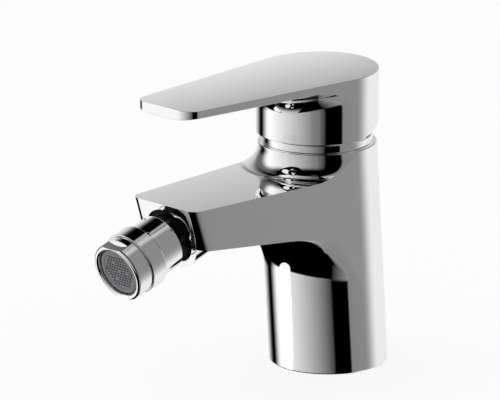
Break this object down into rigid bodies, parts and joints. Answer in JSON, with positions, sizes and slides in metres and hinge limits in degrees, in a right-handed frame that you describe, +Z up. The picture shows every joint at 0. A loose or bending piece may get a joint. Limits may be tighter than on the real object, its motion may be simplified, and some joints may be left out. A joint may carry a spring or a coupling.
{
  "type": "bidet mixer",
  "caption": "Single-lever bidet mixer with a leaning round column, a short tapered spout and a swivelling ball-jointed aerator nozzle.",
  "frame": {"origin": "centre of the base on the deck", "axes": "+Z up, the spout points along -Y, +X to the right of someone who looks along +Y at the spout"},
  "size_m": [0.0476, 0.1411, 0.1191],
  "materials": {
    "chrome_body": "polished chrome plate on the brass casting",
    "chrome_lever": "polished chrome plate on the lever",
    "chrome_trim": "polished chrome plate on turned trim",
    "brass_nut": "turned brass, unplated",
    "brass_stem": "square brass spindle",
    "brass_nipple": "plated brass ball nipple",
    "steel_pin": "stainless steel, ground",
    "ceramic_disc": "lapped alumina",
    "grey_plastic": "moulded acetal",
    "white_plastic": "moulded acetal",
    "aerator_plastic": "moulded aerator plastic",
    "plug_plastic": "small gloss plug",
    "black_rubber": "moulded rubber"
  },
  "bodies": {
    "body": {"tap_body": "chrome_body", "base_gasket": "black_rubber", "cartridge_base": "grey_plastic", "inlet_seal_hot": "black_rubber", "inlet_seal_cold": "black_rubber", "fixed_disc": "ceramic_disc", "cartridge_housing": "grey_plastic", "housing_seal": "black_rubber", "cartridge_nut": "brass_nut", "cover_ring": "chrome_trim", "ball_nipple": "brass_nipple", "pocket_seal": "black_rubber"},
    "rotor": {"stem_carrier": "white_plastic", "pivot_pin": "steel_pin"},
    "lever": {"lever_handle": "chrome_lever", "stem": "brass_stem", "grub_screw": "steel_pin", "index_plug": "plug_plastic"},
    "disc": {"disc_carrier": "white_plastic", "moving_disc": "ceramic_disc"},
    "pan": {"ball_slip_ring": "white_plastic"},
    "tilt": {"ball_seat": "white_plastic"},
    "nozzle": {"nozzle_collar": "chrome_trim", "nozzle_barrel": "chrome_trim", "aerator_housing": "chrome_trim", "aerator_insert": "aerator_plastic", "aerator_screen": "aerator_plastic", "flow_plate": "aerator_plastic", "aerator_washer": "black_rubber"}
  },
  "joints": [
    {"name": "temperature_swing", "type": "hinge", "parent": "body", "child": "rotor", "pos_m": [0, -0.0066, 0.084], "axis": [0, 0, 1], "range_deg": [-45, 45]},
    {"name": "flow_tilt", "type": "hinge", "parent": "rotor", "child": "lever", "pos_m": [0, -0.0066, 0.084], "axis": [-1, 0, 0], "range_deg": [0, 22]},
    {"name": "disc_slide", "type": "slide", "parent": "rotor", "child": "disc", "axis": [0, -1, 0], "range_m": [0, 0.004]},
    {"name": "nozzle_pan", "type": "hinge", "parent": "body", "child": "pan", "pos_m": [0, -0.09612, 0.06421], "axis": [0, -0.309, 0.9511], "range_deg": [-12, 12]},
    {"name": "nozzle_tilt", "type": "hinge", "parent": "pan", "child": "tilt", "pos_m": [0, -0.09612, 0.06421], "axis": [1, 0, 0], "range_deg": [-12, 12]},
    {"name": "nozzle_spin", "type": "hinge", "parent": "tilt", "child": "nozzle", "pos_m": [0, -0.09612, 0.06421], "axis": [0, -0.9511, -0.309], "continuous": true}
  ],
  "couplings": [
    {"joint": "disc_slide", "follows": "flow_tilt", "m_per_rad": 0.01}
  ]
}
